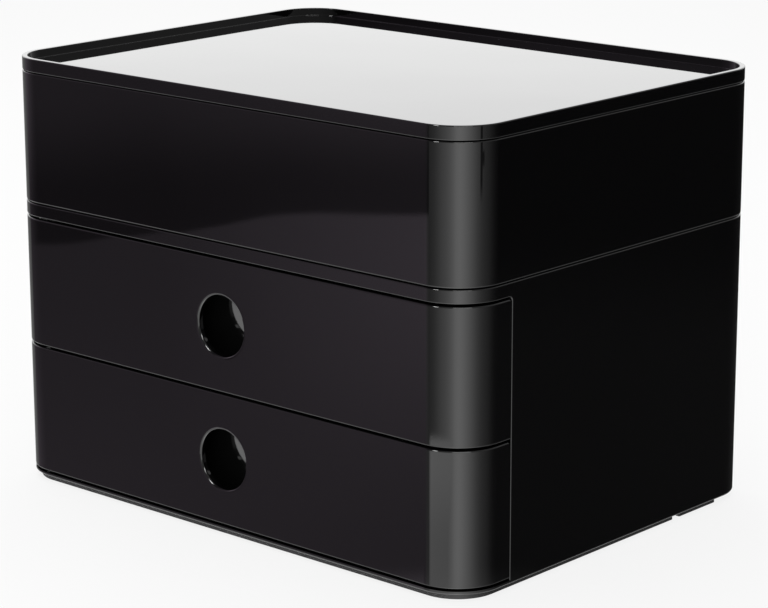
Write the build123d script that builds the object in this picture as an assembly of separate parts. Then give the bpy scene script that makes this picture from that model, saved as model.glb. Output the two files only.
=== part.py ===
"""Desk organiser: a cabinet with two drawers, a stacked utensil box and a tray lid.

All sizes are in millimetres. X runs along the front, +Y points to the back and +Z up.
The origin is under the middle of the footprint, on the plane of the rubber feet.
"""
from build123d import *
import os

# The footprint, the same for every module of the stack
WIDTH = 260.0
DEPTH = 194.0
CORNER_RADIUS = 20.4
WALL = 2.4

# Heights of the visible joint planes
FOOT_PROUD = 0.3
PLINTH_HEIGHT = 2.6
LEDGE_SEAM_Z = 4.8
DRAWER_PITCH = 57.1
BAND_HEIGHT = 6.3
BOX_HEIGHT = 56.9
LID_HEIGHT = 6.0
SEAM = 0.9
STACK_GAP = 0.3

# Raised rim and sunk tray on top of the cabinet and of the lid
RIM = 2.3
RECESS_DEPTH = 3.6

# Plinth that stands under each module and nests inside the rim below
PLINTH_INSET = 2.7
PLINTH_WALL = 2.0
BASE_PANEL = 1.6
BOX_FLOOR = 2.0

# Drawer fronts that wrap round both front corners
WRAP_DEPTH = 28.25
RETURN_GAP = 0.6
FINGER_HOLE_RADIUS = 12.8
HOLE_LIP_RADIUS = 1.0
FINGER_DEPTH = 11.0

# Drawer trays
TRAY_WIDTH = 254.0
TRAY_CORNER = 16.0
TRAY_WALL = 2.0
TRAY_FLOOR = 1.8
TRAY_REAR_GAP = 5.0
TRAY_TOP_DROP = 1.5
BELLY_DEPTH = 2.6
BELLY_GAP = 1.1

# Pad behind the finger hole, measured from the middle of the hole
PAD_HALF_WIDTH = 18.0
PAD_LOW = -5.0
PAD_HIGH = 13.5
PAD_LEAN = 1.6

# Runner strips along the cabinet's side walls
RUNNER_WIDTH = 8.5
RUNNER_HEIGHT = 2.0
RUNNER_FRONT_Y = -66.0
RUNNER_REAR_Y = 76.0
STOP_LENGTH = 6.0
STOP_HEIGHT = 1.2
STOP_LEAD_IN = 0.96
SLIDE_GAP = 0.3
LUG_FRONT_Y = 66.0
LUG_LENGTH = 8.0
TENON_LENGTH = 10.0
TENON_HEIGHT = 1.1
TENON_DEPTH = 1.2
TENON_YS = (-50.0, 5.0, 60.0)
TENON_CLEARANCE = 0.1

# Edge roundings
TOP_EDGE = 0.5
BOTTOM_EDGE = 0.8
FRONT_EDGE = 0.7
OPENING_CORNER = 2.0
OPENING_EDGE = 0.8
RETURN_CORNER = 1.2

# How far joined shapes run into each other, and cuts run past the faces they open
OVERLAP = 1.0

# Points closer together than this count as touching
TOUCH = 0.01

# Planes worked out from the sizes above
SHELL_BOTTOM = FOOT_PROUD + PLINTH_HEIGHT
LEDGE_TOP = LEDGE_SEAM_Z - SEAM / 2
FRONT_HEIGHT = DRAWER_PITCH - SEAM
BAND_BOTTOM = LEDGE_SEAM_Z + 2 * DRAWER_PITCH + SEAM / 2
CABINET_JOINT = LEDGE_SEAM_Z + 2 * DRAWER_PITCH + BAND_HEIGHT
CABINET_TOP = CABINET_JOINT - STACK_GAP / 2
BOX_BOTTOM = CABINET_JOINT + STACK_GAP / 2
BOX_JOINT = CABINET_JOINT + BOX_HEIGHT
BOX_TOP = BOX_JOINT - STACK_GAP / 2
LID_BOTTOM = BOX_JOINT + STACK_GAP / 2
LID_TOP = BOX_JOINT + LID_HEIGHT
FRONT_Y = -DEPTH / 2
OPENING_REAR_Y = FRONT_Y + WRAP_DEPTH
RETURN_REAR_Y = OPENING_REAR_Y - RETURN_GAP
TRAY_FRONT_Y = FRONT_Y + FINGER_DEPTH
TRAY_REAR_Y = DEPTH / 2 - TRAY_REAR_GAP
WALL_X = WIDTH / 2 - WALL
RUNNER_INNER_X = WALL_X - RUNNER_WIDTH


def block(x_low, x_high, y_low, y_high, z_low, z_high):
    """A box between two corners."""
    size = Box(x_high - x_low, y_high - y_low, z_high - z_low)
    return Pos((x_low + x_high) / 2, (y_low + y_high) / 2, (z_low + z_high) / 2) * size


def slab(inset, z_low, z_high):
    """The rounded footprint, drawn in by inset, between two heights."""
    outline = RectangleRounded(WIDTH - 2 * inset, DEPTH - 2 * inset, CORNER_RADIUS - inset)
    return Pos(0, 0, z_low) * extrude(outline, z_high - z_low)


def ring(inset, wall, z_low, z_high):
    """A wall that follows the rounded footprint."""
    return slab(inset, z_low, z_high) - slab(inset + wall, z_low, z_high)


def eased_slab(z_low, z_high, low_radius, high_radius):
    """The full footprint between two heights, with its lower and upper edges rounded."""
    body = slab(0, z_low, z_high)
    body = fillet(body.edges().group_by(Axis.Z)[-1], high_radius)
    return fillet(body.edges().group_by(Axis.Z)[0], low_radius)


def on_outside(point):
    """True where a point lies on the outer face of the footprint."""
    x = max(abs(point.X) - (WIDTH / 2 - CORNER_RADIUS), 0)
    y = max(abs(point.Y) - (DEPTH / 2 - CORNER_RADIUS), 0)
    return abs((x * x + y * y) ** 0.5 - CORNER_RADIUS) < TOUCH


def drawer_bottom(level):
    """Lower edge of a drawer front: level 0 is the lower drawer, 1 the upper one."""
    return LEDGE_SEAM_Z + level * DRAWER_PITCH + SEAM / 2


def runner_bottom(level):
    """Underside of the runners that carry a drawer."""
    return LEDGE_TOP + level * DRAWER_PITCH


def tenons(level, side, clearance):
    """Tongues that key a runner into the cabinet's side wall."""
    x_root = WALL_X - OVERLAP
    x_tip = WALL_X + TENON_DEPTH + clearance
    x_low, x_high = sorted((side * x_root, side * x_tip))
    z_mid = runner_bottom(level) + RUNNER_HEIGHT / 2
    z_low = z_mid - TENON_HEIGHT / 2 - clearance
    z_high = z_mid + TENON_HEIGHT / 2 + clearance
    half_length = TENON_LENGTH / 2 + clearance
    tongues = Part()
    for y in TENON_YS:
        tongues += block(x_low, x_high, y - half_length, y + half_length, z_low, z_high)
    return tongues


def cabinet_shell():
    """One moulding: side walls, back, sunk top with its rim, front ledge and floor ring."""
    shell = eased_slab(SHELL_BOTTOM, CABINET_TOP, BOTTOM_EDGE, TOP_EDGE)
    shell -= slab(RIM, CABINET_TOP - RECESS_DEPTH, CABINET_TOP + OVERLAP)
    shell -= slab(WALL, LEDGE_TOP, BAND_BOTTOM)
    floor_ring_width = 16.0
    floor_corner = 30.0
    floor_hole = RectangleRounded(WIDTH - 2 * floor_ring_width, DEPTH - 2 * floor_ring_width, floor_corner)
    floor_thickness = LEDGE_TOP - SHELL_BOTTOM
    shell -= Pos(0, 0, SHELL_BOTTOM - OVERLAP) * extrude(floor_hole, floor_thickness + 2 * OVERLAP)
    opening = block(-WIDTH, WIDTH, FRONT_Y - WIDTH, OPENING_REAR_Y, LEDGE_TOP, BAND_BOTTOM)
    rear_edge = opening.edges().filter_by(Axis.X).sort_by(Axis.Y)[-2:].sort_by(Axis.Z)[-1]
    shell -= fillet(rear_edge, OPENING_CORNER)
    for level in (0, 1):
        for side in (-1, 1):
            shell -= tenons(level, side, TENON_CLEARANCE)
    opening_edges = []
    for edge in shell.edges():
        outside = on_outside(edge @ 0) and on_outside(edge @ 0.5) and on_outside(edge @ 1)
        within_opening = LEDGE_TOP + TOUCH < edge.center().Z < BAND_BOTTOM + TOUCH
        if outside and within_opening and edge.center().Y < OPENING_REAR_Y + TOUCH:
            opening_edges.append(edge)
    return fillet(opening_edges, OPENING_EDGE)


def base_plate():
    """Bottom panel, clipped under the shell, whose rim is the plinth below the cabinet."""
    plate = slab(PLINTH_INSET, FOOT_PROUD, SHELL_BOTTOM)
    plate -= slab(PLINTH_INSET + PLINTH_WALL, FOOT_PROUD - OVERLAP, SHELL_BOTTOM - BASE_PANEL)
    notch_y_low = 43.0
    notch_y_high = 48.0
    notch_depth = 8.0
    corner_x = 112.0
    corner_y = 73.5
    for side in (-1, 1):
        x_low, x_high = sorted((side * (WIDTH / 2 - PLINTH_INSET - notch_depth), side * WIDTH / 2))
        plate -= block(x_low, x_high, notch_y_low, notch_y_high, 0, SHELL_BOTTOM)
        x_low, x_high = sorted((side * corner_x, side * WIDTH / 2))
        plate -= block(x_low, x_high, corner_y, DEPTH / 2, 0, SHELL_BOTTOM)
    return plate


def rubber_feet():
    """Four round pads stuck under the base plate."""
    foot_radius = 6.0
    foot_x = 108.0
    foot_y = 62.0
    foot_edge = 0.3
    panel_underside = SHELL_BOTTOM - BASE_PANEL
    feet = []
    for x in (-foot_x, foot_x):
        for y in (-foot_y, foot_y):
            pad = Pos(x, y, panel_underside / 2) * Cylinder(foot_radius, panel_underside)
            feet.append(fillet(pad.edges().group_by(Axis.Z)[0], foot_edge))
    return Compound(children=feet)


def runner(level, side):
    """A strip that carries one side of a drawer, with a stop block at its front end."""
    z_low = runner_bottom(level)
    z_high = z_low + RUNNER_HEIGHT
    x_low, x_high = sorted((side * RUNNER_INNER_X, side * WALL_X))
    strip = block(x_low, x_high, RUNNER_FRONT_Y, RUNNER_REAR_Y, z_low, z_high)
    stop_end = RUNNER_FRONT_Y + STOP_LENGTH
    stop = block(x_low, x_high, RUNNER_FRONT_Y, stop_end, z_high - OVERLAP, z_high + STOP_HEIGHT)
    front_edge = stop.edges().filter_by(Axis.X).sort_by(Axis.Y)[:2].sort_by(Axis.Z)[-1]
    return strip + chamfer(front_edge, STOP_LEAD_IN) + tenons(level, side, 0)


def drawer_tray(level):
    """Open bin with a stepped floor that rides on the runners, and shelves that hold the front."""
    bottom = drawer_bottom(level)
    top = bottom + FRONT_HEIGHT - TRAY_TOP_DROP
    step = bottom + BELLY_DEPTH
    length = TRAY_REAR_Y - TRAY_FRONT_Y
    middle_y = (TRAY_REAR_Y + TRAY_FRONT_Y) / 2
    belly_width = 2 * (RUNNER_INNER_X - BELLY_GAP)
    belly_corner = 6.0
    body = RectangleRounded(TRAY_WIDTH, length, TRAY_CORNER)
    belly = RectangleRounded(belly_width, length - 2 * TRAY_WALL, belly_corner)
    tray = Pos(0, middle_y, step) * extrude(body, top - step)
    tray += Pos(0, middle_y, bottom) * extrude(belly, BELLY_DEPTH + OVERLAP)

    # Shelves from the bin's front wall to the inside of the wrapped front
    shelf_thickness = 1.6
    shelf_rear_y = -72.0
    fit_gap = 0.05
    reach = block(-WIDTH, WIDTH, FRONT_Y, shelf_rear_y, 0, LID_TOP)
    for z_low in (bottom + 1.0, top - shelf_thickness):
        tray += slab(WALL + fit_gap, z_low, z_low + shelf_thickness) & reach

    # Lugs behind the stop blocks
    lug_inset = 0.5
    lug_low = step - STOP_HEIGHT
    lug_high = step + OVERLAP
    for side in (-1, 1):
        x_low, x_high = sorted((side * (belly_width / 2 - OVERLAP), side * (TRAY_WIDTH / 2 - lug_inset)))
        tray += block(x_low, x_high, LUG_FRONT_Y, LUG_FRONT_Y + LUG_LENGTH, lug_low, lug_high)

    # Pad on the front wall behind the finger hole: a shallow wedge that leans forwards at the top
    hole_z = bottom + FRONT_HEIGHT / 2
    wedge = Polygon(
        (TRAY_FRONT_Y + OVERLAP, hole_z + PAD_LOW),
        (TRAY_FRONT_Y, hole_z + PAD_LOW),
        (TRAY_FRONT_Y - PAD_LEAN, hole_z + PAD_HIGH),
        (TRAY_FRONT_Y + OVERLAP, hole_z + PAD_HIGH),
        align=None,
    )
    tray += extrude(Plane.YZ * wedge, PAD_HALF_WIDTH, both=True)

    cavity = RectangleRounded(TRAY_WIDTH - 2 * TRAY_WALL, length - 2 * TRAY_WALL, TRAY_CORNER - TRAY_WALL)
    sump = RectangleRounded(belly_width - 2 * TRAY_WALL, length - 4 * TRAY_WALL, belly_corner - TRAY_WALL)
    tray -= Pos(0, middle_y, step + TRAY_FLOOR) * extrude(cavity, FRONT_HEIGHT)
    tray -= Pos(0, middle_y, bottom + TRAY_FLOOR) * extrude(sump, FRONT_HEIGHT)
    return tray


def drawer_front(level):
    """Glossy U-shaped front with a round finger hole and the posts that fix it to the bin."""
    bottom = drawer_bottom(level)
    top = bottom + FRONT_HEIGHT
    hole_z = (bottom + top) / 2
    front = eased_slab(bottom, top, FRONT_EDGE, FRONT_EDGE)
    front -= slab(WALL, bottom - OVERLAP, top + OVERLAP)
    keep = block(-WIDTH, WIDTH, -WIDTH, RETURN_REAR_Y, bottom - OVERLAP, top)
    top_rear_edge = keep.edges().filter_by(Axis.X).sort_by(Axis.Y)[-2:].sort_by(Axis.Z)[-1]
    front &= fillet(top_rear_edge, RETURN_CORNER)
    hole_axis = Pos(0, FRONT_Y, hole_z) * Rot(90, 0, 0)
    front -= hole_axis * Cylinder(FINGER_HOLE_RADIUS, 4 * WALL)
    lip = front.edges().filter_by(GeomType.CIRCLE).sort_by(Axis.Y)[0]
    front = fillet(lip, HOLE_LIP_RADIUS)
    post_radius = 2.5
    post_length = FINGER_DEPTH - WALL
    post_x = 70.0
    post_z = 16.0
    for x in (-post_x, post_x):
        for z in (hole_z - post_z, hole_z + post_z):
            post_y = FRONT_Y + WALL + post_length / 2
            front += Pos(x, post_y, z) * Rot(90, 0, 0) * Cylinder(post_radius, post_length)
    return front


def utensil_box():
    """Open box stacked on the cabinet, with the plinth that nests inside the cabinet's rim."""
    box = eased_slab(BOX_BOTTOM, BOX_TOP, BOTTOM_EDGE, TOP_EDGE)
    box -= slab(WALL, BOX_BOTTOM + BOX_FLOOR, BOX_TOP + OVERLAP)
    return box + ring(PLINTH_INSET, PLINTH_WALL, BOX_BOTTOM - PLINTH_HEIGHT, BOX_BOTTOM + OVERLAP)


def pen_insert():
    """Lift-out tray in the utensil box: two long pen troughs in front, three bins behind."""
    inset = 3.2
    bottom = BOX_BOTTOM + BOX_FLOOR + SLIDE_GAP
    height = 26.0
    floor = 1.6
    wall = 1.8
    pocket_corner = 5.0
    insert = slab(inset, bottom, bottom + height)
    x_edge = WIDTH / 2 - inset - wall
    y_edge = DEPTH / 2 - inset - wall
    trough_depth = 38.0
    bin_walls_x = (-38.0, 44.0)
    pockets = []
    y_low = -y_edge
    for trough in range(2):
        pockets.append((-x_edge, x_edge, y_low, y_low + trough_depth))
        y_low += trough_depth + wall
    wall_middles = (-x_edge - wall / 2, *bin_walls_x, x_edge + wall / 2)
    for left, right in zip(wall_middles[:-1], wall_middles[1:]):
        pockets.append((left + wall / 2, right - wall / 2, y_low, y_edge))
    for x_low, x_high, pocket_low, pocket_high in pockets:
        outline = RectangleRounded(x_high - x_low, pocket_high - pocket_low, pocket_corner)
        place = Pos((x_low + x_high) / 2, (pocket_low + pocket_high) / 2, bottom + floor)
        insert -= (place * extrude(outline, height)) & slab(inset + wall, bottom, bottom + height + OVERLAP)
    return insert


def lid():
    """Loose lid: a flat panel with a raised rim on top and a locating ring underneath."""
    ring_gap = 0.5
    ring_wall = 1.6
    ring_height = 2.5
    cover = eased_slab(LID_BOTTOM, LID_TOP, TOP_EDGE, TOP_EDGE)
    cover -= slab(RIM, LID_TOP - RECESS_DEPTH, LID_TOP + OVERLAP)
    return cover + ring(WALL + ring_gap, ring_wall, LID_BOTTOM - ring_height, LID_BOTTOM + OVERLAP)


def main():
    """Write one STEP file for each piece."""
    os.makedirs("parts", exist_ok=True)
    pieces = {
        "cabinet_shell": cabinet_shell(),
        "base_plate": base_plate(),
        "rubber_feet": rubber_feet(),
        "utensil_box": utensil_box(),
        "pen_insert": pen_insert(),
        "lid": lid(),
    }
    for level, drawer in enumerate(("lower", "upper")):
        pieces[f"{drawer}_drawer_tray"] = drawer_tray(level)
        pieces[f"{drawer}_drawer_front"] = drawer_front(level)
        for side, hand in ((-1, "left"), (1, "right")):
            pieces[f"{drawer}_{hand}_runner"] = runner(level, side)
    for name, shape in pieces.items():
        export_step(shape, f"parts/{name}.step")


main()
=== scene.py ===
"""Desk organiser in black gloss plastic: cabinet with two drawers, utensil box and tray lid."""
import math

import bmesh
import bpy
from mathutils import Matrix, Vector


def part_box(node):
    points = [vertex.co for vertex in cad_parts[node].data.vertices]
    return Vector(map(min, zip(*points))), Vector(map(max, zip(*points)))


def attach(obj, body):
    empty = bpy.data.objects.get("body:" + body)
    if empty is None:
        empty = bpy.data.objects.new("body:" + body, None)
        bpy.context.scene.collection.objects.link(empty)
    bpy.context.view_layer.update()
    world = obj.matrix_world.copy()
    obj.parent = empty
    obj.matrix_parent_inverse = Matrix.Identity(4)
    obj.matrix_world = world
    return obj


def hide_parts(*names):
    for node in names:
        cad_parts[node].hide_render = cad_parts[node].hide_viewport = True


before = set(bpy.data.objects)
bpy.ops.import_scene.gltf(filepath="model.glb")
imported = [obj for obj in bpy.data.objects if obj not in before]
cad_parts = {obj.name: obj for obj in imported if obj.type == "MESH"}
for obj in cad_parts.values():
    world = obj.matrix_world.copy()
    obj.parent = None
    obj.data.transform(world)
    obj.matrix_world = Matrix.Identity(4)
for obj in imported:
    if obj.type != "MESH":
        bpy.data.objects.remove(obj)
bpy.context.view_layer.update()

# ---------------------------------------------------------------------------
# Rubber feet
# Four round pads of dull black rubber, stuck into the hollow of the base plate.
# They lift the cabinet a fraction of a millimetre off the desk.


class Wire:
    """A shader socket that takes Python arithmetic; node() adds any other node to its tree."""

    def __init__(self, tree, socket=None):
        self.tree = tree
        self.socket = socket

    def node(self, kind, settings=(), sockets=(), output=0):
        made = self.tree.nodes.new(kind)
        for name, value in dict(settings).items():
            if name != "stops":
                setattr(made, name, value)
                continue
            stops = made.color_ramp.elements
            while len(stops) < len(value):
                stops.new(1.0)
            for stop, (place, level) in zip(stops, value):
                stop.position = place
                stop.color = (level, level, level, 1.0)
        for name, value in dict(sockets).items():
            if isinstance(value, Wire):
                self.tree.links.new(value.socket, made.inputs[name])
            else:
                made.inputs[name].default_value = value
        return Wire(self.tree, made.outputs[output]) if len(made.outputs) else None

    def maths(self, operation, first, second=0.0):
        return self.node("ShaderNodeMath", {"operation": operation}, {0: first, 1: second})

    def __add__(self, other):
        return self.maths("ADD", self, other)

    def __mul__(self, other):
        return self.maths("MULTIPLY", self, other)

    def __sub__(self, other):
        return self.maths("SUBTRACT", self, other)

    def __rsub__(self, other):
        return self.maths("SUBTRACT", other, self)

    def __truediv__(self, other):
        return self.maths("DIVIDE", self, other)

    __radd__ = __add__
    __rmul__ = __mul__


def new_finish(name):
    """An empty node material: its root wire, its object coordinates and a function that ends it."""
    material = bpy.data.materials.new(name)
    material.use_nodes = True
    material.node_tree.nodes.clear()
    root = Wire(material.node_tree)
    place = root.node("ShaderNodeTexCoord", output="Object")

    def finish(sockets):
        skin = root.node("ShaderNodeBsdfPrincipled", sockets=sockets)
        root.node("ShaderNodeOutputMaterial", sockets={"Surface": skin})
        return material

    return root, place, finish


def grain(root, place, scale, detail=2.0, roughness=0.5):
    """Soft random variation from 0 to 1 with a cell size of 1 / scale metres."""
    return root.node(
        "ShaderNodeTexNoise",
        {"noise_dimensions": "3D"},
        {"Vector": place, "Scale": scale, "Detail": detail, "Roughness": roughness},
    )


def relief(root, height, depth, under=None):
    """Turns a height from 0 to 1 into a surface relief of that depth in metres."""
    sockets = {"Height": height, "Distance": depth, "Strength": 1.0}
    if under is not None:
        sockets["Normal"] = under
    return root.node("ShaderNodeBump", sockets=sockets)


def band(root, value, low, high):
    """0 below low, 1 above high and a smooth step between."""
    return root.node(
        "ShaderNodeMapRange",
        {"interpolation_type": "SMOOTHSTEP"},
        {"Value": value, "From Min": low, "From Max": high, "To Min": 0.0, "To Max": 1.0},
    )


def add_piece(name, mesh, finish, slot, body, *nodes):
    """Makes a bmesh an object that shades smoothly, rides on its body and stands for its nodes."""
    bmesh.ops.remove_doubles(mesh, verts=mesh.verts[:], dist=1e-7)
    bmesh.ops.dissolve_degenerate(mesh, dist=1e-7, edges=mesh.edges[:])
    bmesh.ops.recalc_face_normals(mesh, faces=mesh.faces[:])
    data = bpy.data.meshes.new(name)
    mesh.to_mesh(data)
    mesh.free()
    data.shade_smooth()
    data.set_sharp_from_angle(angle=math.radians(50.0))
    data.materials.append(finish)
    piece = bpy.data.objects.new(name, data)
    bpy.context.scene.collection.objects.link(piece)
    even = piece.modifiers.new("flat_faces_stay_flat", "WEIGHTED_NORMAL")
    even.weight = 100
    even.thresh = 1e-8
    even.keep_sharp = True
    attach(piece, body)
    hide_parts(*nodes)
    return piece


root, place, end = new_finish("foot_rubber")
speckle = grain(root, place, 900.0, 4.0)
rubber = end({
    "Base Color": (0.012, 0.012, 0.013, 1.0),
    "Roughness": 0.62 + 0.2 * speckle,
    "Normal": relief(root, speckle, 0.00006),
})

feet_low, feet_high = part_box("rubber_feet")
foot_radius = 0.006
foot_height = feet_high.z - feet_low.z
pads = bmesh.new()
for x in (feet_low.x + foot_radius, feet_high.x - foot_radius):
    for y in (feet_low.y + foot_radius, feet_high.y - foot_radius):
        made = bmesh.ops.create_cone(
            pads, cap_ends=True, segments=48, radius1=foot_radius, radius2=foot_radius,
            depth=foot_height, matrix=Matrix.Translation((x, y, foot_height / 2)),
        )
        tread = min(
            {face for vert in made["verts"] for face in vert.link_faces},
            key=lambda face: face.calc_center_median().z,
        )
        bmesh.ops.bevel(
            pads, geom=tread.edges[:], offset=0.0003, segments=3, profile=0.5,
            affect="EDGES", material=-1,
        )
add_piece("foot_pads", pads, rubber, "foot_rubber", "cabinet", "rubber_feet")

# ---------------------------------------------------------------------------
# Base plate
# A thin moulded panel in matt black that closes the cabinet from below. Its raised rim
# is the plinth that shows under the walls; notches in the rim take the mould's clips.

CORNER_STEPS = 28


def level_face(mesh, height, up):
    """The largest level face at a height that looks up or down."""
    found = [
        face for face in mesh.faces
        if abs(face.calc_center_median().z - height) < 1e-5
        and face.normal.z * (1 if up else -1) > 0.9
    ]
    return max(found, key=lambda face: face.calc_area())


def rounded_slab(mesh, width, depth, radius, z_low, z_high):
    """A closed plate with four round upright corners; gives its faces."""
    size = Matrix.Diagonal((width, depth, z_high - z_low, 1.0))
    centre = Matrix.Translation((0.0, 0.0, (z_low + z_high) / 2))
    before = set(mesh.faces)
    made = bmesh.ops.create_cube(mesh, size=1.0, matrix=centre @ size)
    edges = {edge for vert in made["verts"] for edge in vert.link_edges}
    upright = [edge for edge in edges if abs(edge.verts[0].co.z - edge.verts[1].co.z) > 1e-6]
    bmesh.ops.bevel(
        mesh, geom=upright, offset=radius, segments=CORNER_STEPS, profile=0.5,
        affect="EDGES", material=-1,
    )
    mesh.normal_update()
    return [face for face in mesh.faces if face not in before]


def inset(mesh, face, distance):
    """Draws a face in by a distance and gives the ring of faces left round it."""
    ring = bmesh.ops.inset_region(
        mesh, faces=[face], thickness=distance, use_even_offset=True, use_boundary=True,
    )["faces"]
    mesh.normal_update()
    return ring


def move_out(mesh, faces, offset, keep=False):
    """Extrudes faces by an offset vector and gives the faces that moved."""
    edges = {edge for face in faces for edge in face.edges}
    verts = {vert for face in faces for vert in face.verts}
    made = bmesh.ops.extrude_face_region(
        mesh, geom=[*faces, *edges, *verts], use_keep_orig=keep,
    )["geom"]
    moved_verts = [part for part in made if isinstance(part, bmesh.types.BMVert)]
    bmesh.ops.translate(mesh, vec=offset, verts=moved_verts)
    mesh.normal_update()
    return [part for part in made if isinstance(part, bmesh.types.BMFace)]


def cut(mesh, point, normal, faces=None):
    """Divides faces along a plane without taking anything away."""
    chosen = mesh.faces[:] if faces is None else list(faces)
    edges = {edge for face in chosen for edge in face.edges}
    verts = {vert for face in chosen for vert in face.verts}
    bmesh.ops.bisect_plane(
        mesh, geom=[*chosen, *edges, *verts], plane_co=point, plane_no=normal, dist=1e-7,
    )
    mesh.normal_update()


def round_edges(mesh, edges, radius, steps=4):
    """Rounds edges with a radius."""
    bmesh.ops.bevel(
        mesh, geom=list(edges), offset=radius, segments=steps, profile=0.5,
        affect="EDGES", material=-1, clamp_overlap=True,
    )
    mesh.normal_update()


def crisp_edges(mesh, least_angle=1.0):
    """Edges where two faces meet at more than an angle in radians."""
    return [
        edge for edge in mesh.edges
        if len(edge.link_faces) == 2 and edge.calc_face_angle() > least_angle
    ]


shell_low, shell_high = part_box("cabinet_shell")
width = shell_high.x - shell_low.x
depth = shell_high.y - shell_low.y
corner_radius = 0.0204


def depth_inside(point):
    """How far a point lies inside the outer outline, up to the corner radius."""
    across = max(abs(point.x) - (width / 2 - corner_radius), 0.0)
    along = max(abs(point.y) - (depth / 2 - corner_radius), 0.0)
    return corner_radius - math.hypot(across, along)


def outline_edges(mesh, height, distance):
    """The edges at a height that run at a distance inside the outer outline."""
    return [
        edge for edge in mesh.edges
        if all(
            abs(vert.co.z - height) < 1e-5 and abs(depth_inside(vert.co) - distance) < 2e-5
            for vert in edge.verts
        )
    ]


def textured_black(name, shade, dullness, cell, depth):
    """Black plastic with the fine spark-eroded grain of an inside face."""
    root, place, end = new_finish(name)
    fine = grain(root, place, 1 / cell, 3.0, 0.6)
    wide = grain(root, place, 22.0, 3.0)
    darker = (shade * 0.8, shade * 0.8, shade * 0.82, 1.0)
    paler = (shade * 1.25, shade * 1.25, shade * 1.28, 1.0)
    return end({
        "Base Color": root.node(
            "ShaderNodeMix", {"data_type": "RGBA"}, {0: wide, 6: darker, 7: paler}, output=2,
        ),
        "Roughness": dullness + 0.12 * fine + 0.06 * wide,
        "Normal": relief(root, fine, depth),
    })


base_black = textured_black("base_black", 0.012, 0.36, 0.0005, 0.00003)

base_low, base_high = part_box("base_plate")
plinth_inset = shell_high.x - base_high.x
plinth_wall = 0.002
panel_thickness = 0.0016
notch_front_y = 0.043
notch_rear_y = 0.048
notch_depth = 0.008
corner_gap_x = 0.112
corner_gap_y = 0.0735
notch_x = base_high.x - notch_depth

plate = bmesh.new()
rounded_slab(
    plate, base_high.x - base_low.x, base_high.y - base_low.y, corner_radius - plinth_inset,
    base_low.z, base_high.z,
)
sheet = level_face(plate, base_high.z, up=True)
bmesh.ops.delete(plate, geom=[face for face in plate.faces if face is not sheet], context="FACES")
inset(plate, sheet, plinth_wall)
for y in (notch_front_y, notch_rear_y, corner_gap_y):
    cut(plate, (0.0, y, 0.0), (0.0, 1.0, 0.0))
for x in (-notch_x, -corner_gap_x, corner_gap_x, notch_x):
    cut(plate, (x, 0.0, 0.0), (1.0, 0.0, 0.0))


def in_a_gap(point):
    """True in the notches and behind the ends of the plinth."""
    side = abs(point.x)
    in_notch = side > notch_x and notch_front_y < point.y < notch_rear_y
    return in_notch or (side > corner_gap_x and point.y > corner_gap_y)


gone = [face for face in plate.faces if in_a_gap(face.calc_center_median())]
bmesh.ops.delete(plate, geom=gone, context="FACES")
under_panel = move_out(plate, plate.faces[:], (0.0, 0.0, -panel_thickness), keep=True)
under_rim = [
    face for face in under_panel
    if depth_inside(face.calc_center_median()) < plinth_inset + plinth_wall
]
move_out(plate, under_rim, (0.0, 0.0, base_low.z - base_high.z + panel_thickness))
bmesh.ops.recalc_face_normals(plate, faces=plate.faces[:])
bmesh.ops.dissolve_limit(plate, angle_limit=0.01, verts=plate.verts[:], edges=plate.edges[:])
round_edges(plate, crisp_edges(plate), 0.00015, 2)
add_piece("base_panel", plate, base_black, "base_black", "cabinet", "base_plate")

# ---------------------------------------------------------------------------
# Cabinet shell
# One injection moulding in jet-black gloss plastic: two side walls, a back, a sunk top
# with a raised rim, the band over the drawers and the ledge under them. The front is
# open and its cut edges are rounded, so that they catch the light as a thin line.

wall = 0.0024
rim = 0.0023
ledge_top = 0.00435
band_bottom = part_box("upper_drawer_front")[1].z + 0.0009
opening_rear_y = shell_low.y + 0.02825
recess_floor = shell_high.z - 0.0036
opening_corner = 0.002
opening_edge = 0.0008
outer_foot_edge = 0.0008
rim_outer_edge = 0.0005
rim_inner_edge = 0.0003


def gloss_black(name, offset):
    """Jet-black gloss plastic: mirror-smooth, a little wavy, with faint wipe marks and dust."""
    root, place, end = new_finish(name)
    moved = root.node("ShaderNodeVectorMath", {"operation": "ADD"}, {0: place, 1: offset})
    wipe = band(root, grain(root, moved, 16.0, 3.0), 0.42, 0.72)
    skin = grain(root, moved, 1400.0, 2.0)
    dust = band(root, grain(root, moved, 2600.0, 1.0), 0.76, 0.8)
    waves = relief(root, grain(root, moved, 11.0, 1.0, 0.4), 0.00018)
    return end({
        "Base Color": root.node(
            "ShaderNodeMix", {"data_type": "RGBA"},
            {0: dust, 6: (0.0014, 0.0013, 0.0015, 1.0), 7: (0.02, 0.02, 0.02, 1.0)},
            output=2,
        ),
        "Roughness": 0.012 + 0.012 * wipe + 0.1 * dust,
        "IOR": 1.5,
        "Normal": relief(root, skin, 0.0000006, waves),
    })


shell_gloss = gloss_black("shell_gloss", (0.0, 0.0, 0.0))

shell = bmesh.new()
rounded_slab(shell, width, depth, corner_radius, shell_low.z, shell_high.z)
top = level_face(shell, shell_high.z, up=True)
inset(shell, top, rim)
move_out(shell, [top], (0.0, 0.0, recess_floor - shell_high.z))
outer_sides = [
    face for face in shell.faces
    if depth_inside(face.calc_center_median()) < 1e-4 and abs(face.normal.x) > 0.99
]
cut(shell, (0.0, opening_rear_y, 0.0), (0.0, 1.0, 0.0), outer_sides)
for z in (ledge_top, band_bottom):
    front_wall = [
        face for face in shell.faces
        if abs(face.normal.z) < 0.1 and face.calc_center_median().y < opening_rear_y
        and depth_inside(face.calc_center_median()) < 1e-4
    ]
    cut(shell, (0.0, 0.0, z), (0.0, 0.0, 1.0), front_wall)

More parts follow.
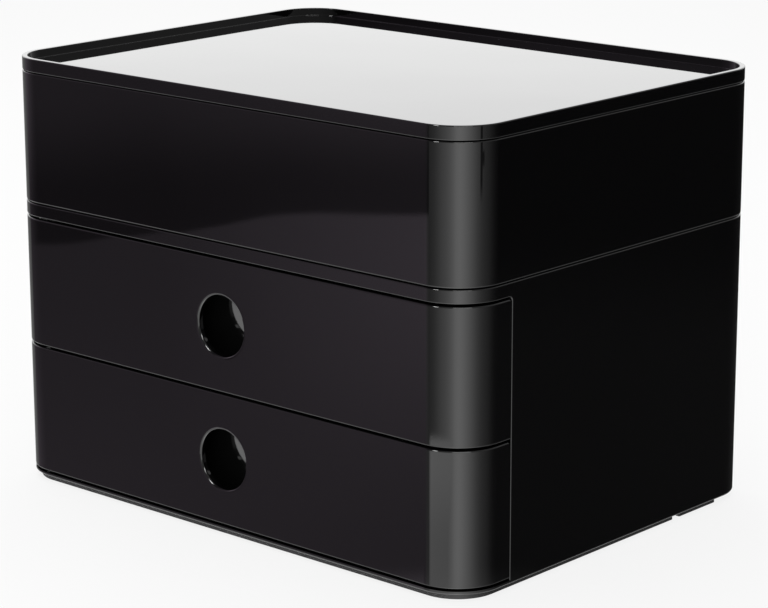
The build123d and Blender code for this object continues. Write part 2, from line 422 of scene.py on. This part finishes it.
inner = rounded_slab(
    shell, width - 2 * wall, depth - 2 * wall, corner_radius - wall, ledge_top, band_bottom,
)
inner_sides = [face for face in inner if abs(face.normal.x) > 0.99]
cut(shell, (0.0, opening_rear_y, 0.0), (0.0, 1.0, 0.0), inner_sides)


def in_front_opening(face):
    """True for a wall face in front of the side walls, between ledge and band."""
    point = face.calc_center_median()
    between = ledge_top < point.z < band_bottom
    return between and abs(face.normal.z) < 0.1 and point.y < opening_rear_y


opening_faces = [face for face in shell.faces if in_front_opening(face)]
bmesh.ops.delete(shell, geom=opening_faces, context="FACES")
bmesh.ops.bridge_loops(shell, edges=[edge for edge in shell.edges if edge.is_boundary])
shell.normal_update()

floor_ring = 0.016
bottom = level_face(shell, shell_low.z, up=False)
inset(shell, bottom, floor_ring)
cavity_floor = level_face(shell, ledge_top, up=False)
inset(shell, cavity_floor, floor_ring - wall)
bmesh.ops.delete(shell, geom=[bottom, cavity_floor], context="FACES")
bmesh.ops.bridge_loops(shell, edges=[edge for edge in shell.edges if edge.is_boundary])
bmesh.ops.recalc_face_normals(shell, faces=shell.faces[:])

across_wall = [
    edge for edge in shell.edges
    if all(
        abs(vert.co.y - opening_rear_y) < 1e-5 and abs(vert.co.z - band_bottom) < 1e-5
        for vert in edge.verts
    )
    and abs(edge.verts[0].co.x - edge.verts[1].co.x) < 1.5 * wall
]
round_edges(shell, across_wall, opening_corner, 6)
opening_line = [
    edge for edge in crisp_edges(shell)
    if all(depth_inside(vert.co) < 1e-4 for vert in edge.verts)
    and any(ledge_top + 1e-4 < vert.co.z < band_bottom + 1e-4 for vert in edge.verts)
]
round_edges(shell, opening_line, opening_edge, 5)
round_edges(shell, outline_edges(shell, shell_low.z, 0.0), outer_foot_edge, 5)
round_edges(shell, outline_edges(shell, shell_high.z, 0.0), rim_outer_edge, 4)
round_edges(shell, outline_edges(shell, shell_high.z, rim), rim_inner_edge, 3)
round_edges(shell, outline_edges(shell, recess_floor, rim), rim_inner_edge, 3)
add_piece("cabinet_housing", shell, shell_gloss, "shell_gloss", "cabinet", "cabinet_shell")

# ---------------------------------------------------------------------------
# Runners
# Four plain strips of slippery black plastic, keyed into the side walls. A block at the
# front end of each stops the drawer. Their moulded shape is used as it is.

runner_black = textured_black("runner_black", 0.014, 0.28, 0.0009, 0.000012)
for level in ("lower", "upper"):
    for hand in ("left", "right"):
        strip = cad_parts[f"{level}_{hand}_runner"]
        strip.data.materials[0] = runner_black

# ---------------------------------------------------------------------------
# Drawer trays
# Two moulded bins in black plastic, polished in front and grained elsewhere. Each floor
# steps down between the runners, and two shelves in front carry the glossy face.

finger_depth = 0.011
polished_y = shell_low.y + finger_depth + 0.0003
grained_y = polished_y + 0.0007
polished_colour = (0.004, 0.004, 0.004, 1.0)
grained_colour = (0.015, 0.015, 0.0155, 1.0)

root, place, end = new_finish("tray_black")
along = root.node("ShaderNodeSeparateXYZ", sockets={0: place}, output="Y")
grained = band(root, along, polished_y, grained_y)
fine = grain(root, place, 1600.0, 3.0, 0.6)
wide = grain(root, place, 22.0, 3.0)
tray_black = end({
    "Base Color": root.node(
        "ShaderNodeMix", {"data_type": "RGBA"},
        {0: grained * (0.6 + 0.4 * wide), 6: polished_colour, 7: grained_colour},
        output=2,
    ),
    "Roughness": 0.06 + grained * (0.26 + 0.14 * fine + 0.06 * wide),
    "Normal": relief(root, fine * grained, 0.00002),
})

bin_half_width = 0.127
belly_half_width = 0.118
bin_centre_y = 0.002
tray_wall = 0.002
tray_floor = 0.0018
belly_depth = 0.0026
tray_corner = 0.016
tray_lip_edge = 0.0005
tray_floor_edge = 0.0008
shelf_rear_y = -0.072
shelf_thickness = 0.0016
shelf_clearance = 0.0002
lower_shelf_rise = 0.001
upper_shelf_drop = 0.0006
pad_half_width = 0.018
pad_low = -0.005
pad_high = 0.0135
pad_lean = 0.0016
pad_step = 0.0003


def drawer_bin(level):
    """The bin of one drawer as a closed mesh in its place."""
    low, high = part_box(f"{level}_drawer_tray")
    front_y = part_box(f"{level}_drawer_front")[0].y + finger_depth
    middle_y = (front_y + high.y) / 2
    half_length = (high.y - front_y) / 2
    step_z = low.z + belly_depth
    bin_mesh = bmesh.new()
    rounded_slab(bin_mesh, 2 * bin_half_width, 2 * half_length, tray_corner, step_z, high.z)
    mouth = level_face(bin_mesh, high.z, up=True)
    inset(bin_mesh, mouth, tray_wall)
    (floor_face,) = move_out(bin_mesh, [mouth], (0.0, 0.0, step_z + tray_floor - high.z))
    inset(bin_mesh, floor_face, tray_wall)
    narrower = (belly_half_width - tray_wall) / (bin_half_width - 2 * tray_wall)
    bmesh.ops.scale(bin_mesh, vec=(narrower, 1.0, 1.0), verts=floor_face.verts[:])
    move_out(bin_mesh, [floor_face], (0.0, 0.0, -belly_depth))
    under = level_face(bin_mesh, step_z, up=False)
    inset(bin_mesh, under, tray_wall)
    narrower = belly_half_width / (bin_half_width - tray_wall)
    bmesh.ops.scale(bin_mesh, vec=(narrower, 1.0, 1.0), verts=under.verts[:])
    move_out(bin_mesh, [under], (0.0, 0.0, -belly_depth))
    mouth_edges = [
        edge for edge in crisp_edges(bin_mesh)
        if all(vert.co.z > high.z - 1e-5 for vert in edge.verts)
    ]
    round_edges(bin_mesh, mouth_edges, tray_lip_edge, 3)
    floor_heights = (step_z + tray_floor, low.z + tray_floor)
    inside_corner = [
        edge for edge in crisp_edges(bin_mesh)
        if all(min(abs(vert.co.z - z) for z in floor_heights) < 1e-5 for vert in edge.verts)
        and abs(edge.verts[0].co.z - edge.verts[1].co.z) < 1e-6
    ]
    round_edges(bin_mesh, inside_corner, tray_floor_edge, 3)
    bmesh.ops.translate(bin_mesh, vec=(0.0, middle_y, 0.0), verts=bin_mesh.verts[:])

    # Shelves: bands of the bin's front wall, drawn out to the inside of the wrapped front
    wider = (width / 2 - wall - shelf_clearance / 2) / bin_half_width
    shelf_front_y = shell_low.y + wall + shelf_clearance
    longer = (shelf_rear_y - shelf_front_y) / (shelf_rear_y - front_y)
    lower_shelf = max(low.z + lower_shelf_rise, step_z + shelf_clearance)
    upper_shelf = high.z - shelf_thickness - upper_shelf_drop
    for shelf_low in (lower_shelf, upper_shelf):
        shelf_high = shelf_low + shelf_thickness
        for z in (shelf_low, shelf_high):
            cut(bin_mesh, (0.0, 0.0, z), (0.0, 0.0, 1.0), outer_front_faces(bin_mesh))
        front_and_sides = outer_front_faces(bin_mesh, whole_side=True)
        cut(bin_mesh, (0.0, shelf_rear_y, 0.0), (0.0, 1.0, 0.0), front_and_sides)
        shelf_band = [
            face for face in outer_front_faces(bin_mesh)
            if shelf_low < face.calc_center_median().z < shelf_high
        ]
        drawn_out = move_out(bin_mesh, shelf_band, (0.0, 0.0, 0.0))
        bmesh.ops.scale(
            bin_mesh, vec=(wider, longer, 1.0),
            verts=list({vert for face in drawn_out for vert in face.verts}),
            space=Matrix.Translation((0.0, -shelf_rear_y, 0.0)),
        )

    # Pad behind the finger hole: a patch of the front wall whose upper edge leans forwards
    hole_z = sum(point.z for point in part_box(f"{level}_drawer_front")) / 2
    for x in (-pad_half_width, pad_half_width):
        cut(bin_mesh, (x, 0.0, 0.0), (1.0, 0.0, 0.0), front_wall_faces(bin_mesh, front_y))
    for z in (hole_z + pad_low, hole_z + pad_high):
        cut(bin_mesh, (0.0, 0.0, z), (0.0, 0.0, 1.0), front_wall_faces(bin_mesh, front_y))
    patch = [
        face for face in front_wall_faces(bin_mesh, front_y)
        if abs(face.calc_center_median().x) < pad_half_width
        and pad_low < face.calc_center_median().z - hole_z < pad_high
    ]
    pad = move_out(bin_mesh, patch, (0.0, -pad_step, 0.0))
    upper = {vert for face in pad for vert in face.verts if vert.co.z > hole_z + pad_high - 1e-5}
    bmesh.ops.translate(bin_mesh, vec=(0.0, -pad_lean, 0.0), verts=list(upper))
    return bin_mesh


def front_wall_faces(mesh, front_y):
    """Faces of the bin's flat front wall that look forwards."""
    return [
        face for face in mesh.faces
        if face.normal.y < -0.999 and abs(face.calc_center_median().y - front_y) < 1e-5
    ]


def outer_front_faces(mesh, whole_side=False):
    """Upright outer faces of the bin in front of the shelves' rear end."""
    chosen = []
    for face in mesh.faces:
        point = face.calc_center_median()
        outwards = face.normal.x * point.x + face.normal.y * (point.y - bin_centre_y)
        outer = abs(face.normal.z) < 0.1 and outwards > 0.05
        if outer and (point.y < shelf_rear_y or (whole_side and abs(face.normal.x) > 0.99)):
            chosen.append(face)
    return chosen


for level in ("lower", "upper"):
    add_piece(
        f"{level}_drawer_bin", drawer_bin(level), tray_black, "tray_black",
        f"{level}_drawer", f"{level}_drawer_tray",
    )

# ---------------------------------------------------------------------------
# Drawer fronts
# A U-shaped gloss moulding that wraps round both front corners, with one round finger
# hole whose lip is rounded. Four posts behind it stand on the bin's front wall.

front_edge = 0.0007
return_gap = 0.0006
return_corner = 0.0012
hole_radius = 0.0128
lip_radius = 0.001
lip_spread = 1.6
hole_steps = 128
square_margin = 0.008
return_rear_y = opening_rear_y - return_gap
post_radius = 0.0025
post_x = 0.070
post_z = 0.016


def draw_in(mesh, edges, centre, radius):
    """Extrudes a closed line of edges on to a circle about a centre and gives the new line."""
    made = bmesh.ops.extrude_edge_only(mesh, edges=edges)["geom"]
    for part in made:
        if isinstance(part, bmesh.types.BMVert):
            spoke = part.co - centre
            part.co = centre + spoke * (radius / spoke.length)
    return [part for part in made if isinstance(part, bmesh.types.BMEdge) and part.is_boundary]


def drawer_face(level):
    """The wrapped front of one drawer as a closed mesh in its place."""
    low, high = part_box(f"{level}_drawer_front")
    hole_z = (low.z + high.z) / 2
    face_mesh = bmesh.new()
    rounded_slab(face_mesh, width, depth, corner_radius, low.z, high.z)
    ends = [face for face in face_mesh.faces if abs(face.normal.z) > 0.9]
    bmesh.ops.delete(face_mesh, geom=ends, context="FACES")
    cut(face_mesh, (0.0, return_rear_y, 0.0), (0.0, 1.0, 0.0))
    rear = [face for face in face_mesh.faces if face.calc_center_median().y > return_rear_y]
    bmesh.ops.delete(face_mesh, geom=rear, context="FACES")

    # A square round the hole, drawn in to a circle
    square = hole_radius + square_margin
    for x in (-square, square):
        flat = [face for face in face_mesh.faces if face.normal.y < -0.999]
        cut(face_mesh, (x, 0.0, 0.0), (1.0, 0.0, 0.0), flat)
    for z in (hole_z - square, hole_z + square):
        middle = [
            face for face in face_mesh.faces
            if face.normal.y < -0.999 and abs(face.calc_center_median().x) < square
        ]
        cut(face_mesh, (0.0, 0.0, z), (0.0, 0.0, 1.0), middle)
    (patch,) = [
        face for face in face_mesh.faces
        if abs(face.calc_center_median().x) < square
        and abs(face.calc_center_median().z - hole_z) < square
    ]
    rim_edges = patch.edges[:]
    bmesh.ops.delete(face_mesh, geom=[patch], context="FACES_ONLY")
    bmesh.ops.subdivide_edges(face_mesh, edges=rim_edges, cuts=hole_steps // 4 - 1)
    square_edges = [
        edge for edge in face_mesh.edges
        if edge.is_boundary and all(
            abs(vert.co.x) < square + 1e-5 and abs(vert.co.z - hole_z) < square + 1e-5
            for vert in edge.verts
        )
    ]
    hole_centre = Vector((0.0, low.y, hole_z))
    lip_ring = hole_radius + lip_spread * lip_radius
    ring_edges = draw_in(face_mesh, square_edges, hole_centre, lip_ring)
    draw_in(face_mesh, ring_edges, hole_centre, hole_radius)
    bmesh.ops.recalc_face_normals(face_mesh, faces=face_mesh.faces[:])
    outward = next(face for face in face_mesh.faces if abs(face.normal.y) > 0.999)
    if outward.normal.y > 0:
        bmesh.ops.reverse_faces(face_mesh, faces=face_mesh.faces[:])

    # The wall's thickness, then the round corner and the rounded edges
    bmesh.ops.solidify(face_mesh, geom=face_mesh.faces[:], thickness=wall)
    bmesh.ops.recalc_face_normals(face_mesh, faces=face_mesh.faces[:])
    across = [
        edge for edge in face_mesh.edges
        if all(
            abs(vert.co.y - return_rear_y) < 1e-5 and abs(vert.co.z - high.z) < 1e-5
            for vert in edge.verts
        )
    ]
    round_edges(face_mesh, across, return_corner, 5)
    outer_line = [
        edge for edge in crisp_edges(face_mesh)
        if all(depth_inside(vert.co) < 1e-4 for vert in edge.verts)
        and not all(math.hypot(vert.co.x, vert.co.z - hole_z) < square for vert in edge.verts)
        and not all(abs(vert.co.y - return_rear_y) < 1e-5 for vert in edge.verts)
    ]
    round_edges(face_mesh, outer_line, front_edge, 4)
    lip = [
        edge for edge in crisp_edges(face_mesh)
        if all(
            vert.co.y < low.y + 1e-5 and math.hypot(vert.co.x, vert.co.z - hole_z) < hole_radius + 1e-5
            for vert in edge.verts
        )
    ]
    round_edges(face_mesh, lip, lip_radius, 8)

    post_length = finger_depth - wall
    post_y = low.y + wall + post_length / 2
    lying = Matrix.Rotation(math.pi / 2, 4, "X")
    for x in (-post_x, post_x):
        for z in (hole_z - post_z, hole_z + post_z):
            bmesh.ops.create_cone(
                face_mesh, cap_ends=True, segments=24, radius1=post_radius, radius2=post_radius,
                depth=post_length, matrix=Matrix.Translation((x, post_y, z)) @ lying,
            )
    return face_mesh


for level, offset in (("lower", (0.31, 0.0, 0.0)), ("upper", (0.0, 0.57, 0.0))):
    front_gloss = gloss_black(f"{level}_front_gloss", offset)
    add_piece(
        f"{level}_drawer_face", drawer_face(level), front_gloss, "front_gloss",
        f"{level}_drawer", f"{level}_drawer_front",
    )

# ---------------------------------------------------------------------------
# Utensil box
# An open box of the same gloss plastic, moulded in one piece. Its plinth nests in the
# rim of the cabinet below and leaves a thin shadow line between the two.

box_gloss = gloss_black("box_gloss", (0.0, 0.0, 0.43))

box_low, box_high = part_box("utensil_box")
stacking_gap = 0.0003
box_bottom = shell_high.z + stacking_gap
box_floor = box_bottom + 0.002
mouth_edge = 0.0004
box_mesh = bmesh.new()
rounded_slab(box_mesh, width, depth, corner_radius, box_bottom, box_high.z)
mouth = level_face(box_mesh, box_high.z, up=True)
inset(box_mesh, mouth, wall)
move_out(box_mesh, [mouth], (0.0, 0.0, box_floor - box_high.z))
underside = level_face(box_mesh, box_bottom, up=False)
inset(box_mesh, underside, plinth_inset)
plinth_ring = inset(box_mesh, underside, plinth_wall)
move_out(box_mesh, plinth_ring, (0.0, 0.0, box_low.z - box_bottom))
round_edges(box_mesh, outline_edges(box_mesh, box_bottom, 0.0), outer_foot_edge, 5)
round_edges(box_mesh, outline_edges(box_mesh, box_high.z, 0.0), rim_outer_edge, 4)
round_edges(box_mesh, outline_edges(box_mesh, box_high.z, wall), mouth_edge, 3)
round_edges(box_mesh, outline_edges(box_mesh, box_floor, wall), 0.0008, 4)
round_edges(box_mesh, outline_edges(box_mesh, box_low.z, plinth_inset), 0.0002, 2)
add_piece("utensil_box_moulding", box_mesh, box_gloss, "box_gloss", "utensil_box", "utensil_box")

# ---------------------------------------------------------------------------
# Pen insert
# A lift-out tray in grained black plastic: two long troughs in front for pens and
# three bins behind them for clips and notes.

insert_black = textured_black("insert_black", 0.013, 0.34, 0.0006, 0.00002)

insert_low, insert_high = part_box("pen_insert")
insert_inset = shell_high.x - insert_high.x
insert_wall = 0.0018
insert_floor = insert_low.z + 0.0016
trough_depth = 0.038
bin_walls_x = (-0.038, 0.044)
pocket_corner = 0.005
pocket_floor_edge = 0.0012
least_pocket_area = 0.001
trough_y = insert_low.y + insert_wall + trough_depth + insert_wall / 2
bins_y = trough_y + insert_wall + trough_depth

insert = bmesh.new()
rounded_slab(
    insert, insert_high.x - insert_low.x, insert_high.y - insert_low.y, corner_radius - insert_inset,
    insert_low.z, insert_high.z,
)
upper_face = level_face(insert, insert_high.z, up=True)
inset(insert, upper_face, insert_wall / 2)
for y in (trough_y, bins_y):
    inside = [
        face for face in insert.faces
        if face.normal.z > 0.9 and depth_inside(face.calc_center_median()) > insert_inset + insert_wall / 2
    ]
    cut(insert, (0.0, y, 0.0), (0.0, 1.0, 0.0), inside)
for x in bin_walls_x:
    behind = [
        face for face in insert.faces
        if face.normal.z > 0.9 and face.calc_center_median().y > bins_y
        and face.calc_area() > least_pocket_area
    ]
    cut(insert, (x, 0.0, 0.0), (1.0, 0.0, 0.0), behind)
pockets = [
    face for face in insert.faces if face.normal.z > 0.9 and face.calc_area() > least_pocket_area
]
for pocket in pockets:
    inset(insert, pocket, insert_wall / 2)
for pocket in pockets:
    move_out(insert, [pocket], (0.0, 0.0, insert_floor - insert_high.z))
square_corners = [
    edge for edge in crisp_edges(insert)
    if abs(edge.verts[0].co.z - edge.verts[1].co.z) > 0.01
]
round_edges(insert, square_corners, pocket_corner, 6)
floor_line = [
    edge for edge in crisp_edges(insert)
    if all(abs(vert.co.z - insert_floor) < 1e-5 for vert in edge.verts)
]
round_edges(insert, floor_line, pocket_floor_edge, 3)
mouth_line = [
    edge for edge in crisp_edges(insert)
    if all(abs(vert.co.z - insert_high.z) < 1e-5 for vert in edge.verts)
]
round_edges(insert, mouth_line, mouth_edge, 3)
add_piece("pen_tray_insert", insert, insert_black, "insert_black", "pen_insert", "pen_insert")

# ---------------------------------------------------------------------------
# Lid
# A loose gloss cover: a flat tray with a raised rim above, and a locating ring
# underneath that keeps it centred on the box.

lid_gloss = gloss_black("lid_gloss", (0.7, 0.2, 0.0))

lid_low, lid_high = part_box("lid")
lid_bottom = box_high.z + stacking_gap
lid_floor = lid_high.z - 0.0036
ring_inset = wall + 0.0005
ring_wall = 0.0016
lid = bmesh.new()
rounded_slab(lid, width, depth, corner_radius, lid_bottom, lid_high.z)
tray_face = level_face(lid, lid_high.z, up=True)
inset(lid, tray_face, rim)
move_out(lid, [tray_face], (0.0, 0.0, lid_floor - lid_high.z))
underside = level_face(lid, lid_bottom, up=False)
inset(lid, underside, ring_inset)
locating_ring = inset(lid, underside, ring_wall)
move_out(lid, locating_ring, (0.0, 0.0, lid_low.z - lid_bottom))
round_edges(lid, outline_edges(lid, lid_high.z, 0.0), rim_outer_edge, 4)
round_edges(lid, outline_edges(lid, lid_bottom, 0.0), rim_outer_edge, 4)
round_edges(lid, outline_edges(lid, lid_high.z, rim), rim_inner_edge, 3)
round_edges(lid, outline_edges(lid, lid_floor, rim), rim_inner_edge, 3)
round_edges(lid, outline_edges(lid, lid_low.z, ring_inset), rim_inner_edge, 2)
add_piece("tray_lid", lid, lid_gloss, "lid_gloss", "lid", "lid")

# ---------------------------------------------------------------------------
# Floor, light and camera
# A white floor and a white room, as the camera sees them. Only the glossy faces see
# the studio itself: a large bright panel behind the object and a dimmer table before it.

floor_glow = 0.84
floor_mesh = bmesh.new()
bmesh.ops.create_grid(floor_mesh, x_segments=1, y_segments=1, size=6.0)
floor_data = bpy.data.meshes.new("floor")
floor_mesh.to_mesh(floor_data)
floor_mesh.free()
floor = bpy.data.objects.new("floor", floor_data)
bpy.context.scene.collection.objects.link(floor)
floor_paper = bpy.data.materials.new("floor_paper")
floor_paper.use_nodes = True
floor_paper.node_tree.nodes.clear()
root = Wire(floor_paper.node_tree)
paper = root.node("ShaderNodeBsdfDiffuse", sockets={"Color": (0.85, 0.85, 0.85, 1.0)})
glow = root.node("ShaderNodeEmission", sockets={"Color": (1.0, 1.0, 1.0, 1.0), "Strength": 1.0})
seen = root.node("ShaderNodeLightPath", output="Is Camera Ray")
mixed = root.node("ShaderNodeMixShader", sockets={0: seen * floor_glow, 1: paper, 2: glow})
root.node("ShaderNodeOutputMaterial", sockets={"Surface": mixed})
floor_data.materials.append(floor_paper)
floor.visible_glossy = False

world = bpy.data.worlds.new("studio")
bpy.context.scene.world = world
world.use_nodes = True
world.node_tree.nodes.clear()
root = Wire(world.node_tree)
direction = root.node("ShaderNodeTexCoord", output="Generated")
dir_x = root.node("ShaderNodeSeparateXYZ", sockets={0: direction})
dir_y = Wire(root.tree, dir_x.socket.node.outputs["Y"])
dir_z = Wire(root.tree, dir_x.socket.node.outputs["Z"])
azimuth = root.maths("ARCTAN2", dir_y, dir_x) * (180 / math.pi)
elevation = root.maths("ARCSINE", dir_z) * (180 / math.pi)
turned = (azimuth + 180.0) / 360.0


# Azimuths and elevations are in degrees, and 1 is the brightness of white paper
def around(pairs, span=3.0):
    """Brightness against azimuth, from given pairs of the two."""
    stops = [((angle + 180.0) / 360.0, level / span) for angle, level in pairs]
    return span * root.node("ShaderNodeValToRGB", {"stops": stops}, {0: turned})


# The table in front of the object and what it reflects, as the upright faces mirror them
near = around((
    (-180, 0.12), (-140, 0.2), (-136, 0.24), (-134.5, 0.33), (-133, 0.42), (-131, 0.55), (-126, 0.6),
    (-121, 0.42), (-117, 0.33), (-112, 0.39), (-105, 0.48), (-96, 0.7), (-87, 0.97), (-78, 1.2),
    (-70, 1.5), (-62, 1.95), (-56, 2.4), (-48, 2.6), (-40, 2.35), (-34, 2.05), (-26, 1.65), (-18, 1.25),
    (-9, 0.83), (0, 0.55), (8, 0.4), (17, 0.28), (27, 0.14), (36, 0.06), (46, 0.02), (118, 0.02), (135, 0.3),
))
# The edge of the table, a little aslant, and the dark room behind it
table_edge = -13.15 + 0.53 * band(root, azimuth, -139.0, -132.0)
beyond = band(root, elevation - table_edge, -0.06, 0.06) * band(root, 0.0 - azimuth, 117.0, 119.0)
room = around((
    (-180, 0.13), (-140, 0.075), (-136, 0.083), (-133, 0.13), (-131, 0.165), (-126, 0.16), (-119, 0.08),
))
room = room * (1.0 + 1.4 * band(root, elevation, -12.2, -9.9))
far_front = band(root, 0.0 - azimuth, 118.0, 126.0) * (1.0 - band(root, elevation, -20.0, -13.0))
ground = near * (1.0 - far_front) + 0.27 * far_front
# A bright card that lies in front of the corner
card = band(root, 0.0 - elevation, 17.0, 17.4) * band(root, azimuth, -120.0, -110.0)
card = card * (1.0 - band(root, azimuth, -50.0, -36.0))
card = card * (1.95 - 0.5 * band(root, 0.0 - elevation, 17.6, 19.6))
ground = root.maths("MAXIMUM", ground, card)
# A thin dark post with a knob on it, which shows as a line down the corner
post = band(root, azimuth, -4.5, -2.5) * (1.0 - band(root, azimuth, 0.5, 2.5))
post = post * band(root, elevation, -12.5, -12.0)
knob = band(root, azimuth, -3.0, -1.0) * (1.0 - band(root, azimuth, 4.0, 8.0))
knob = knob * band(root, elevation, -11.75, -11.6) * (1.0 - band(root, elevation, -11.4, -11.3))
ground = ground * (1.0 - 0.8 * root.maths("MAXIMUM", post, knob))
ground = ground + 0.02 * band(root, 0.0 - elevation, 12.5, 15.5) * band(root, azimuth, 30.0, 46.0)
# White sheets of paper close by, brighter the nearer they lie
sheets_near = band(root, 0.0 - elevation, 19.8, 21.4)
sheets = around((
    (-180, 1.0), (-150, 1.0), (-138, 0.9), (-90, 1.8), (-73, 2.1), (-50, 2.4), (0, 1.2), (51, 0.3),
    (120, 0.8), (180, 1.0),
))
sheets = sheets * (1.0 + 0.6 * band(root, 0.0 - elevation, 38.0, 60.0))
beside = (1.0 - band(root, azimuth, -131.0, -127.0)) * (1.0 - band(root, 0.0 - elevation, 27.0, 30.0))
sheets = root.maths("MAXIMUM", sheets, 2.2 * beside)
ground = ground * (1.0 - sheets_near) + sheets * sheets_near
ground = ground * (1.0 - beyond) + room * beyond
# The bright panel behind, the dark room in front with a lit strip in it, and two lamps
panel = band(root, elevation, 1.0, 4.0) * (1.0 - band(root, elevation, 35.0, 60.0))
panel = panel * band(root, azimuth, 80.0, 105.0) * (1.0 - band(root, azimuth, 165.0, 179.0))
above = band(root, elevation, -1.0, 0.5)
strip = band(root, elevation, 8.0, 11.0) * (1.0 - band(root, elevation, 24.0, 29.0))
facing = 1.0 - band(root, azimuth, -128.0, -118.0)
sky = around((
    (-180, 0.6), (-150, 0.12), (-118, 0.12), (-100, 0.35), (-60, 0.5), (60, 0.5), (90, 0.9), (180, 0.9),
))
sky = sky + panel + 0.6 * strip * facing


def lamp_glint(low, high, bottom, top, strength):
    """A lamp in the mirrored room, between two azimuths and two elevations in degrees."""
    across = band(root, azimuth, low, low + 3.0) * (1.0 - band(root, azimuth, high - 3.0, high))
    up = band(root, elevation, bottom, bottom + 3.0) * (1.0 - band(root, elevation, top - 3.0, top))
    return strength * across * up


sky = sky + lamp_glint(-64.0, -18.0, 24.0, 36.0, 12.0)
sky = sky + lamp_glint(-110.0, -95.0, 18.0, 32.0, 36.0)
mirrored = ground * (1.0 - above) + sky * above
path_camera = root.node("ShaderNodeLightPath", output="Is Camera Ray")
path_glossy = Wire(root.tree, path_camera.socket.node.outputs["Is Glossy Ray"])
path_transmission = Wire(root.tree, path_camera.socket.node.outputs["Is Transmission Ray"])
ambient = 0.55
white = root.maths("MAXIMUM", path_camera, path_transmission)
brightness = white + (1.0 - white) * (path_glossy * mirrored + (1.0 - path_glossy) * ambient)
plain_white = (1.0, 1.0, 1.0, 1.0)
faint_purple = (1.03, 0.88, 1.04, 1.0)
tinted = path_glossy * facing * (1.0 - sheets_near)
tint = root.node(
    "ShaderNodeMix", {"data_type": "RGBA"}, {0: tinted, 6: plain_white, 7: faint_purple}, output=2,
)
background = root.node("ShaderNodeBackground", sockets={"Color": tint, "Strength": brightness})
root.node("ShaderNodeOutputWorld", sockets={"Surface": background})


def soft_box(name, place, aim, size, power):
    """A square lamp that shines from one point towards another and isn't seen itself."""
    lamp_data = bpy.data.lights.new(name, "AREA")
    lamp_data.shape = "SQUARE"
    lamp_data.size = size
    lamp_data.energy = power
    lamp = bpy.data.objects.new(name, lamp_data)
    lamp.location = place
    lamp.rotation_euler = (Vector(aim) - Vector(place)).to_track_quat("-Z", "Y").to_euler()
    lamp.visible_camera = False
    lamp.visible_glossy = False
    bpy.context.scene.collection.objects.link(lamp)


soft_box("top_light", (-0.5, 0.2, 1.5), (0.0, 0.0, 0.1), 1.4, 14.0)
soft_box("front_fill", (0.9, -1.2, 0.9), (0.0, 0.0, 0.1), 1.0, 6.0)

camera_data = bpy.data.cameras.new("camera")
camera_data.sensor_width = 36.0
focal_pixels = 2780.76
photo_width_pixels = 768
camera_data.lens = focal_pixels / photo_width_pixels * camera_data.sensor_width
camera = bpy.data.objects.new("camera", camera_data)
camera_place = (0.77925, -0.86921, 0.38235)
yaw, pitch, roll = (math.radians(angle) for angle in (41.7797, -14.4746, -0.1231))
camera.matrix_world = (
    Matrix.Translation(camera_place)
    @ Matrix.Rotation(yaw, 4, "Z")
    @ Matrix.Rotation(math.pi / 2 + pitch, 4, "X")
    @ Matrix.Rotation(roll, 4, "Z")
)
bpy.context.scene.collection.objects.link(camera)
bpy.context.scene.camera = camera
bpy.context.scene.view_settings.view_transform = "Standard"
